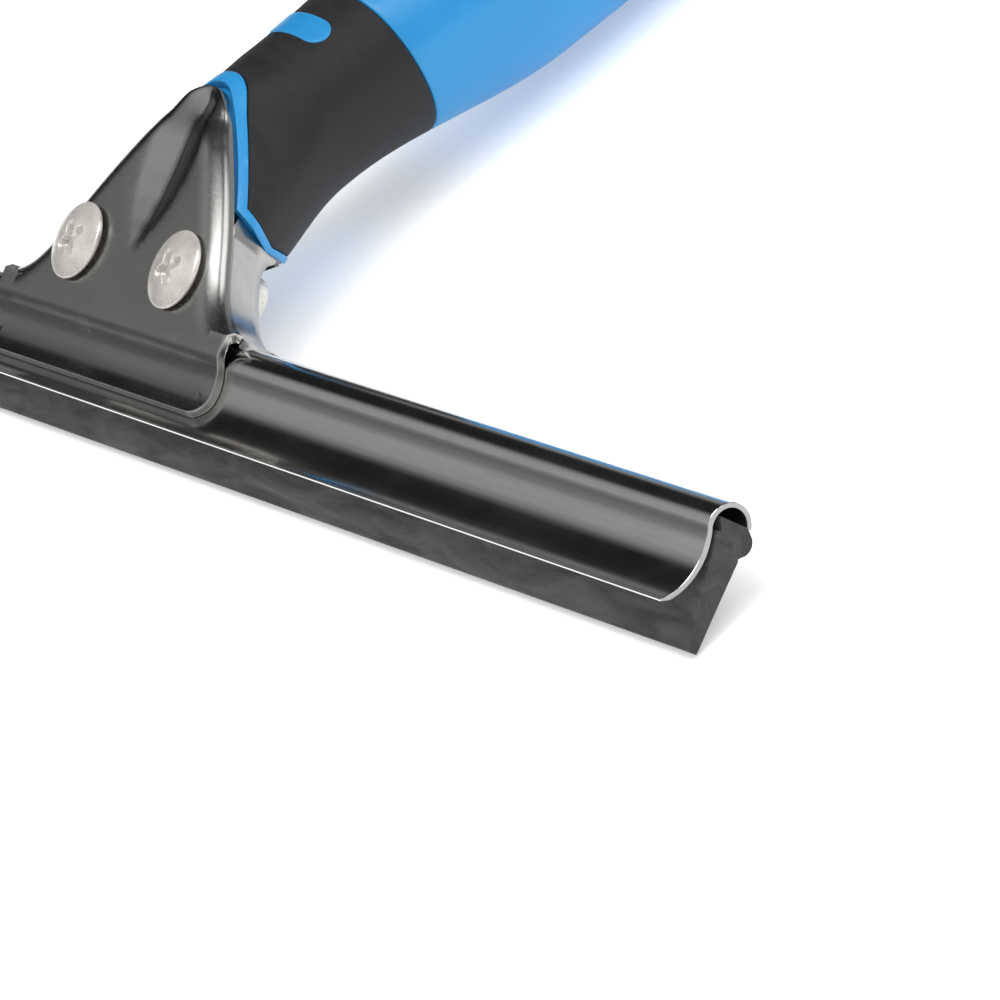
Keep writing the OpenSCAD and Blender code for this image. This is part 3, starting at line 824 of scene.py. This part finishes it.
rear_jaw = stamped(rear, [rear_flange(x, w) for x, w in rear], PLATE, rear_place, step=1.6,
                   clamp=rear_clamp, big=3.0)
TANG_E, TANG_HALF, TANG_END = 7.2, 6.5, 42.0
foot = Vector((REAR_Y + (37 - REAR_BEND_Z) * math.tan(REAR_BEND), 37))
path = [foot - Vector((0.5, 0.5))]
path += [Vector(axis_point(s, TANG_E + PLATE / 2)[1:]) for s in (-17.4, -14, 0, 20, TANG_END)]
tang_corners = ((-1, -1), (1, -1), (1, 1), (-1, 1))
tang_section = rounded([(x * TANG_HALF, h * PLATE / 2, 0.2) for x, h in tang_corners], 3)
rings = []
for i, c in enumerate(path):
    d = (path[min(i + 1, len(path) - 1)] - path[max(i - 1, 0)]).normalized()
    nrm = Vector((d.y, -d.x))
    rings.append([(x, c.x + nrm.x * h, c.y + nrm.y * h) for x, h in tang_section])
rear_jaw.rings(rings, cap0=True, cap1=True)
piece("rear_jaw_plate", rear_jaw, "handle", JAW_STEEL, ["rear_jaw"], sharp=38)


# ---------------------------------------------------------------- screws, washers, nuts
HEAD_H, HEAD_R = 2.0, 6.75
EDGE_H = 0.6
DROP = HEAD_H - EDGE_H
FLOOR_SCALE, FLOOR_DROP = 0.78, 1.1
DOME_R = (HEAD_R ** 2 + DROP ** 2) / (2 * DROP)


def dome(r):
    return HEAD_H - DOME_R + math.sqrt(max(DOME_R ** 2 - r * r, 0))


def cross(half_len, half_w, fillet, n=4):
    pts = []
    for k in range(4):
        a = k * math.pi / 2
        arm = ((half_len, -half_w, half_w * 0.7), (half_len, half_w, half_w * 0.7))
        for x, y, r in arm + ((half_w * 1.15, half_w * 1.15, fillet),):
            pts.append((x * math.cos(a) - y * math.sin(a), x * math.sin(a) + y * math.cos(a), r))
    return rounded(pts, n)


def screw(side, turn):
    cx, cz = side * SCREW_X, SCREW_Z
    sh = Shape()
    ct, st = math.cos(turn), math.sin(turn)

    def at(u, v, h):
        return (cx + u * ct - v * st, HEAD_Y - h, cz + u * st + v * ct)
    n = 64
    circle = [(math.cos(2 * math.pi * k / n), math.sin(2 * math.pi * k / n)) for k in range(n)]
    prof = [(3.0, 0.0), (6.5, 0.0), (6.68, 0.05), (6.75, 0.18), (6.75, 0.42), (6.7, 0.56), (6.58, 0.67)]
    prof += [(r, dome(r)) for r in (6.35, 6.0, 5.6, 5.2, 4.7, 4.3)]
    sh.rings([[at(r * x, r * y, h) for x, y in circle] for r, h in prof])
    outer = [(4.3 * x, 4.3 * y) for x, y in circle]
    mouth = cross(3.45, 0.98, 0.5)
    v, tri = fill(outer, [mouth], (), 0.45)
    sh.add([at(x, y, dome(math.hypot(x, y))) for x, y in v], [tuple(t) for t in tri])
    walls = []
    for scale, drop in ((1.0, 0.0), (0.97, 0.05), (0.95, 0.16), (0.82, 1.0), (FLOOR_SCALE, FLOOR_DROP)):
        walls.append([at(x * scale, y * scale, dome(math.hypot(x, y)) - drop) for x, y in mouth])
    sh.rings(walls)
    floor_loop = [(x * FLOOR_SCALE, y * FLOOR_SCALE) for x, y in mouth]
    v, tri = fill(floor_loop, (), (), 0.4)

    def floor_height(r):
        return dome(r / FLOOR_SCALE) - FLOOR_DROP - 0.2 * max(0, 1 - r / 1.2)

    sh.add([at(x, y, floor_height(math.hypot(x, y))) for x, y in v], [tuple(t) for t in tri])
    rows, m, pitch = [], 40, 1.0
    end = REAR_Y + 4.6 - 0.05
    for y in np.arange(HEAD_Y, end, 0.14):
        ring_pts = []
        thread = smooth((y + 4.0) / 1.0) * smooth((end - y) / 0.5)
        for k in range(m):
            t = 2 * math.pi * k / m
            ph = (y / pitch + k / m) % 1.0
            r = 2.97 - 0.30 * thread * (1 - abs(2 * ph - 1)) - 0.45 * (1 - smooth((end - y) / 0.6))
            ring_pts.append((cx + r * math.cos(t), y, cz + r * math.sin(t)))
        rows.append(ring_pts)
    sh.rings(rows, cap0=True, cap1=True)
    return sh


def washer(side):
    cx, cz = side * SCREW_X, SCREW_Z
    sh, n = Shape(), 90
    bore, rim = 3.12, 5.2
    corners = ((bore, -1), (rim, -1), (rim, 1), (bore, 1))
    sec = rounded([(r, k * WASHER_T / 2, 0.12) for r, k in corners], 3)
    middle = WASHER_Y - WASHER_T / 2
    gap = math.radians(5)
    rings = []
    for k in range(n + 1):
        t = math.pi / 2 + gap / 2 + (2 * math.pi - gap) * k / n
        rings.append([(cx + r * math.cos(t), middle + h, cz + r * math.sin(t)) for r, h in sec])
    sh.rings(rings, cap0=True, cap1=True)
    return sh


def nut(side):
    cx, cz = side * SCREW_X, SCREW_Z
    sh = Shape()
    y0, y1 = REAR_Y + 0.02, REAR_Y + 4.0
    prof = [(3.08, y0 - 1.3), (3.9, y0 - 1.3), (3.9, y0), (4.35, y0), (4.4, y0 + 0.06)]
    prof += [(4.4, y1 - 0.5), (4.32, y1 - 0.22), (4.1, y1 - 0.04), (3.95, y1), (3.5, y1)]
    prof += [(3.35, y1 - 0.05), (3.08, y1 - 0.32)]
    prof += [(3.08, y) for y in np.linspace(y1 - 0.6, y0 - 1.2, 4)]
    n = 72
    rings = []
    for r, y in prof:
        ring_pts = []
        for k in range(n):
            t = 2 * math.pi * k / n
            knurl = 0.07 * math.cos(24 * t) if r > 4.37 and y < y1 - 0.6 else 0.0
            ring_pts.append((cx + (r + knurl) * math.cos(t), y, cz + (r + knurl) * math.sin(t)))
        rings.append(ring_pts)
    sh.rings(rings, wrap=True)
    return sh


for side, word, turn in ((-1, "left", 0.62), (1, "right", 0.50)):
    piece(f"clamp_screw_{word}_pan", screw(side, turn), f"screw_{word}", FASTENER,
          [f"clamp_screw_{word}"], sharp=30)
    piece(f"spring_washer_{word}_ring", washer(side), f"washer_{word}", FASTENER,
          [f"spring_washer_{word}"], sharp=35)
    piece(f"clinch_nut_{word}_body", nut(side), "handle", FASTENER,
          [f"clinch_nut_{word}"], sharp=35)

for word, s in (("lower", 8.0), ("upper", 34.0)):
    sh, n = Shape(), 40
    sec = [(1.4, 0.15), (1.55, 0.0), (1.85, 0.0), (2.0, 0.2)]
    sec += [(2.0, 15.8), (1.85, 16.0), (1.55, 16.0), (1.4, 15.85)]
    rings = []
    for k in range(n + 1):
        t = math.radians(8 + 344 * k / n)
        rings.append([axis_point(s + r * math.cos(t), -6 + h, r * math.sin(t)) for r, h in sec])
    sh.rings(rings, cap0=True, cap1=True)
    piece(f"tang_pin_{word}_roll", sh, "handle", FASTENER, [f"tang_pin_{word}"], sharp=35)


# ---------------------------------------------------------------- the handle
N_RING = 128
ANGLES = [360 * k / N_RING for k in range(N_RING)]


def ring_at(s, inset=0.0):
    return [on_handle(s, a, inset) for a in ANGLES]


def crossing(below, lo, hi):
    """Where, from lo to hi, below stops being true."""
    for _ in range(50):
        mid = (lo + hi) / 2
        lo, hi = (mid, hi) if below(mid) else (lo, mid)
    return lo


def front_edge(s, plane):
    """Angle, on the right, where the handle's section crosses a plane of constant Y, or None."""
    if on_handle(s, -90)[1] > plane:
        return None
    return crossing(lambda a: on_handle(s, a)[1] < plane, -90.0, 60.0)


def arch_top(plane):
    return crossing(lambda s: on_handle(s, -90)[1] < plane, GRIP_LOW, 30.0)


SPINE_LEN = 31.0
SPINE_TOP = GRIP_LOW - 3 + SPINE_LEN


def spine_half(s):
    u = (s - (GRIP_LOW - 3)) / SPINE_LEN
    return 17.5 * (1 - min(max(u, 0), 1) ** 1.6)


def spine_edge(s):
    """Angle, on the right, of the spine's edge at the back."""
    w = spine_half(s)
    if w <= 0.02:
        return 90.0
    c = min(w / half_a(s), 1.0) ** (square(s) / 2)
    return 90 - math.degrees(math.asin(c)) if c < 1 else 0.0


K_U = 0.26


def patch_on_handle(outline, out, depth, step, edge_ease=0.25):
    """A solid patch on the handle. outline is in (u, s): u is in mm from the front's middle line."""
    p = np.array(outline, float)
    nrm = normals_2d(p)
    seam = np.abs(np.abs(p[:, 0]) - 180 * K_U) < 1e-6

    def put(q, inset):
        return on_handle(q[1], q[0] / K_U - 90, inset)
    inner = p - nrm * edge_ease * np.where(seam, 0, 1)[:, None]
    v, tri = fill(inner, (), (), step)
    sh = Shape()
    sh.add([put(q, -out) for q in v], [tuple(t) for t in tri])
    sh.add([put(q, depth) for q in v], [tuple(t)[::-1] for t in tri])
    rings = []
    for t in (0.0, 0.25, 0.5, 0.75, 1.0):
        c, d = math.sin(t * math.pi / 2), math.cos(t * math.pi / 2)
        at = p - nrm * (edge_ease * (1 - c)) * np.where(seam, 0, 1)[:, None]
        rings.append([put(q, -out + edge_ease * (1 - d)) for q in (inner if t == 0 else at)])
    rings.append([put(q, depth) for q in inner])
    n, base = len(p), len(sh.v)
    for r in rings:
        sh.v += r
    for r in range(len(rings) - 1):
        for i in range(n):
            j = (i + 1) % n
            if not (seam[i] and seam[j]):
                low, high = base + r * n, base + (r + 1) * n
                sh.f.append((low + i, low + j, high + j, high + i))
    return sh


# the neck's edges, seen on the unrolled handle
def level_s(a, z):
    """Where the handle's surface, at an angle, crosses a height of the head's frame."""
    return crossing(lambda s: on_handle(s, a)[2] < z, -32.0, 20.0)


def neck_edge(rim, flat, back_gap, wide=0.0, n=70):
    """Right half of an edge that runs from the arch's top down the front, under the side and back to the
    spine: (u, s) points. wide draws it further in over the arch."""
    plane = FRONT_CUT + rim
    top = arch_top(plane)
    low = GRIP_LOW + rim
    pts = []
    for k in range(n + 1):
        s = low + (top - low) * (1 - (k / n) ** 2)
        a = front_edge(s, plane)
        if a is None:
            a = -90.0
        z = on_handle(s, a)[2]
        if wide:
            extra = wide * smooth((z - 52) / 9)
            turn = math.radians(min(max(a + 90, 0), 90))
            u = (a + 90 + extra * 0.9 * math.sin(turn) / K_U) * K_U
            pts.append((u, s + extra * math.cos(turn)))
        else:
            pts.append(((a + 90) * K_U, s))
    pts[0] = (0.0, pts[0][1])
    a0 = front_edge(low, plane)
    a = a0
    while True:
        a += 1.6
        s = max(low, level_s(a, END_Z + flat))
        if a >= spine_edge(s) - back_gap:
            break
        pts.append(((a + 90) * K_U, s))
    a = spine_edge(s) - back_gap
    s = max(low, level_s(a, END_Z + flat))
    pts.append(((a + 90) * K_U, s))
    return pts


def mirrored(pts):
    return [(-u, s) for u, s in pts]


# grip: from the collar up to the ring, round to the spine's edges
edge = neck_edge(RIM, END_RIM, 0.3, 0.1)
s_low = edge[-1][1]
side = [((spine_edge(s) - 0.3 + 90) * K_U, s) for s in np.linspace(s_low, SPINE_TOP, 44)[1:]]
side[-1] = (180 * K_U, SPINE_TOP)
seam_pts = [(180 * K_U, s) for s in np.linspace(SPINE_TOP, RING_S - 0.12, 14)[1:]]
top_pts = [(u * K_U, RING_S - 0.12) for u in np.linspace(180, -180, 110)[1:-1]]
right = edge + side + seam_pts
outline = right + top_pts + mirrored(right[1:])[::-1]
grip = patch_on_handle(outline, 0.0, 1.4, 1.1, 0.3)
piece("neck_grip_sleeve", grip, "handle", GRIP, ["neck_grip"], sharp=45)

# collar: a rim round the steel, a bead over the arch, and a band along the lower end
outer = neck_edge(0.0, 0.0, 0.3)
inner = neck_edge(RIM - 0.08, END_RIM - 0.08, 0.3, 0.1)
outline = mirrored(outer[1:])[::-1] + outer + inner[::-1] + mirrored(inner[1:])
collar = patch_on_handle(outline, 0.3, 1.4, 0.6, 0.3)
piece("head_collar_rim", collar, "handle", BLUE, ["head_collar"], sharp=45)

# core: the blue body, its plain part under the grip, and the bare spine at the back
UNDER = 1.45
core = Shape()
rows_s = [(s, UNDER) for s in np.linspace(GRIP_LOW + 0.02, RING_S - 0.1, 26)]
rows_s += [(RING_S - 0.02, UNDER), (RING_S, 0.5), (RING_S + 0.08, 0.2), (RING_S + 0.25, 0.05)]
rows_s += [(RING_S + 0.6, 0.0)]
rows_s += [(s, 0.0) for s in np.linspace(RING_S + 1.5, CAP_S - 0.8, 84)]
rows_s += [(CAP_S - 0.4, 0.04), (CAP_S - 0.15, 0.15), (CAP_S - 0.05, 0.4), (CAP_S - 0.05, 3.2)]
core.rings([ring_at(s, i) for s, i in rows_s], cap0=True, cap1=True)


def cut(bm, point, out_dir):
    everything = list(bm.verts) + list(bm.edges) + list(bm.faces)
    res = bmesh.ops.bisect_plane(bm, geom=everything, plane_co=Vector(row(point)),
                                 plane_no=row_dir(out_dir), clear_outer=True, dist=1e-7)
    rim = [g for g in res["geom_cut"] if isinstance(g, bmesh.types.BMEdge)]
    bmesh.ops.holes_fill(bm, edges=rim, sides=0)


def cut_core(bm):
    cut(bm, (0, FRONT_CUT + 0.12, 0), (0, -1, 0))
    cut(bm, (0, 0, END_Z), (0, 0, -1))


piece("handle_core_body", core, "handle", BLUE, ["handle_core"], sharp=40, edit=cut_core)
spine_s = np.linspace(s_low - 0.6, SPINE_TOP - 0.4, 44)
spine_right = [((spine_edge(s) + 90) * K_U, s) for s in spine_s]
first_a = spine_edge(spine_s[0])
while level_s(first_a, END_Z) > spine_right[0][1]:
    spine_right = spine_right[1:]
    first_a = spine_right[0][0] / K_U - 90
mirror_at = 180 * K_U
low_pts = [((a + 90) * K_U, level_s(a, END_Z)) for a in np.linspace(180 - first_a, first_a, 44)]
spine_left = [(2 * mirror_at - u, s) for u, s in spine_right[::-1]]
spine = patch_on_handle(spine_right + spine_left + low_pts, -0.12, 2.0, 1.0, 0.2)
piece("handle_core_spine", spine, "handle", BLUE, ["handle_core"], sharp=45)

# inlay: a raised bar across the front of the neck
bar = [(x, 13 + y) for x, y in arc((5.5, 0), 2.6, -90, 90, 14) + arc((-5.5, 0), 2.6, 90, 270, 14)]


def angle_of_x(x, s):
    c = max(-1.0, min(1.0, x / half_a(s)))
    return math.degrees(math.asin(math.copysign(abs(c) ** (square(s) / 2), c)))


bar_u = [(angle_of_x(x, s) * K_U, s) for x, s in bar]
inlay = patch_on_handle(resample(bar_u, 0.5), 0.22, 1.4, 0.7, 0.25)
piece("grip_inlay_bar", inlay, "handle", BLUE, ["grip_inlay"], sharp=45)

# butt cap, with three ribs, closed round the socket
cap = Shape()
rings = [[circle_on_axis(CAP_S + 0.1, SOCKET_R + 2.08, a) for a in ANGLES]]
low_edge = ((0.03, 0.9), (0.05, 0.35), (0.15, 0.12), (0.4, 0.0))
rings += [ring_at(CAP_S + up, inset) for up, inset in low_edge]
for s in np.arange(CAP_S + 1.0, END_S - 2.2, 0.25):
    near = min(abs(s - (CAP_S + 3.2 + 2.6 * k)) for k in range(3))
    rings.append(ring_at(s, 0.45 * (1 - smooth((near - 0.25) / 0.45))))
for k in range(9):
    t = math.pi / 2 * k / 8
    rings.append(ring_at(END_S - 1.9 + 1.9 * math.sin(t), 1.9 * (1 - math.cos(t))))
for s, r in ((END_S, SOCKET_R + 2.35), (END_S - 0.3, SOCKET_R + 2.08)):
    rings.append([circle_on_axis(s, r, a) for a in ANGLES])
cap.rings(rings, wrap=True)
piece("butt_cap_ribbed", cap, "handle", GRIP, ["butt_cap"], sharp=40)

# pole socket sleeve
sleeve = Shape()
lo = 57.05
prof = [(lo, 8.0), (lo, 12.8), (lo + 0.2, 13.0), (97.9, 13.0), (98.05, 13.85), (104.8, 13.85), (105.0, 13.0)]
prof += [(END_S - 0.25, 13.0), (END_S - 0.05, 12.85), (END_S, 12.6), (END_S, 11.6)]
prof += [(END_S - 0.12, 11.25), (END_S - 0.5, 11.0)]
prof += [(s, 11.0) for s in np.linspace(END_S - 4, 73.2, 12)]
prof += [(73.0, 10.98), (61.2, 8.05), (61.0, 7.9), (60.98, 0.05)]
sleeve.rings([[circle_on_axis(s, r, a) for a in ANGLES] for s, r in prof], cap0=True, cap1=True)
piece("pole_socket_sleeve", sleeve, "handle", SOCKET, ["pole_socket"], sharp=40)

# ---------------------------------------------------------------- floor, light, camera
floor_me = bpy.data.meshes.new("floor")
bm = bmesh.new()
bmesh.ops.create_circle(bm, cap_ends=True, segments=96, radius=6.0)
bm.to_mesh(floor_me)
bm.free()
floor = bpy.data.objects.new("floor", floor_me)
bpy.context.scene.collection.objects.link(floor)
fm, _, fb = new_material("floor_paper")
fb.inputs["Base Color"].default_value = (0.93, 0.93, 0.93, 1)
fb.inputs["Roughness"].default_value = 0.9
fb.inputs["Specular IOR Level"].default_value = 0.1
fb.inputs["Emission Color"].default_value = (1, 1, 1, 1)
fb.inputs["Emission Strength"].default_value = 0.3
floor_me.materials.append(fm)
floor.location = (0, 0, -0.0004)

world = bpy.data.worlds.new("studio")
bpy.context.scene.world = world
world.use_nodes = True
wn = Nodes(world.node_tree)
bg = world.node_tree.nodes["Background"]
bg.inputs["Color"].default_value = (1, 1, 1, 1)
bg.inputs["Strength"].default_value = 0.85
# Only glossy rays see these soft bands, set out by direction in the head's frame. Their levels were chosen
# for the main view, where the channel then shows the same light and dark stripes as the real one.
gloss = wn.node("ShaderNodeBackground")
gloss.inputs["Strength"].default_value = 1.7
direction = wn.node("ShaderNodeTexCoord").outputs["Generated"]


def along(axis):
    dot = wn.node("ShaderNodeVectorMath")
    dot.operation = "DOT_PRODUCT"
    dot.inputs[1].default_value = axis
    wn.link(direction, dot.inputs[0])
    return dot.outputs["Value"]


def bands(value, stops):
    ramp = wn.node("ShaderNodeValToRGB")
    ramp.color_ramp.interpolation = "EASE"
    elements = ramp.color_ramp.elements
    for k, (at, level) in enumerate(stops):
        e = elements[k] if k < 2 else elements.new(at)
        e.position = at
        e.color = (level, level, level, 1)
    wn.link(value, ramp.inputs["Fac"])
    return ramp.outputs["Color"]


ahead, upward = along(row_dir((0, -1, 0))), along(row_dir((0, 0, 1)))
turn = wn.math("ADD", wn.math("MULTIPLY", wn.math("ARCTAN2", upward, ahead), 0.5 / math.pi), 0.5)
# (degrees from straight ahead up to the handle's end, level) and (share along X, level)
BANDS = ((-180, 0.6), (-90, 0.3), (-42, 0.14), (-28, 0.22), (-12, 0.42), (8, 0.40), (20, 0.27),
         (28, 0.08), (35, 0.01), (64, 0.01), (84, 0.02), (94, 0.24), (108, 0.30), (124, 0.24),
         (145, 0.6), (180, 0.6))
height = bands(turn, [((a + 180) / 360, v) for a, v in BANDS])
SIDES = ((-1.0, 0.01), (-0.95, 0.02), (-0.91, 0.14), (-0.87, 0.44), (-0.80, 0.52), (-0.64, 0.95),
         (-0.3, 0.6), (0.05, 1.0), (0.9, 1.0))
across = wn.math("ADD", wn.math("MULTIPLY", along((1, 0, 0)), 0.5), 0.5)
side_way = bands(across, [((a + 1) / 2, v) for a, v in SIDES])
product = wn.node("ShaderNodeVectorMath")
product.operation = "MULTIPLY"
wn.link(height, product.inputs[0])
wn.link(side_way, product.inputs[1])
wn.link(product.outputs["Vector"], gloss.inputs["Color"])
path = wn.node("ShaderNodeLightPath")
mixer = wn.node("ShaderNodeMixShader")
out = world.node_tree.nodes["World Output"]
wn.link(path.outputs["Is Glossy Ray"], mixer.inputs["Fac"])
wn.link(bg.outputs["Background"], mixer.inputs[1])
wn.link(gloss.outputs["Background"], mixer.inputs[2])
wn.link(mixer.outputs["Shader"], out.inputs["Surface"])


def area(name, place_at, target, size, power, spread=180):
    light = bpy.data.lights.new(name, "AREA")
    light.shape = "RECTANGLE"
    light.size, light.size_y = size
    light.energy = power
    light.spread = math.radians(spread)
    ob = bpy.data.objects.new(name, light)
    ob.location = place_at
    ob.rotation_euler = (Vector(target) - Vector(place_at)).to_track_quat("-Z", "Y").to_euler()
    bpy.context.scene.collection.objects.link(ob)
    return ob


area("key", (0.9, 0.9, 1.3), (0, 0, 0.02), (0.9, 0.9), 7)
area("top", (0.1, -0.1, 1.5), (0, 0, 0), (1.2, 0.5), 9)

# the camera's place and two of its axes, in the head's frame
EYE = (903.79, -530.64, -24.79)
RIGHT, BACK = (0.5303, 0.7623, 0.3710), (0.8291, -0.5579, -0.0387)
cam_data = bpy.data.cameras.new("camera")
cam = bpy.data.objects.new("camera", cam_data)
bpy.context.scene.collection.objects.link(cam)
cam_data.lens = 229.68
cam_data.sensor_width = 36
cam_data.clip_start, cam_data.clip_end = 0.05, 20
x_axis, back_axis = row_dir(RIGHT).normalized(), row_dir(BACK).normalized()
y_axis = back_axis.cross(x_axis).normalized()
x_axis = y_axis.cross(back_axis)
rot = Matrix((x_axis, y_axis, back_axis)).transposed().to_4x4()
cam.matrix_world = Matrix.Translation(Vector(row(EYE))) @ rot
bpy.context.scene.camera = cam
bpy.context.scene.view_settings.view_transform = "Standard"
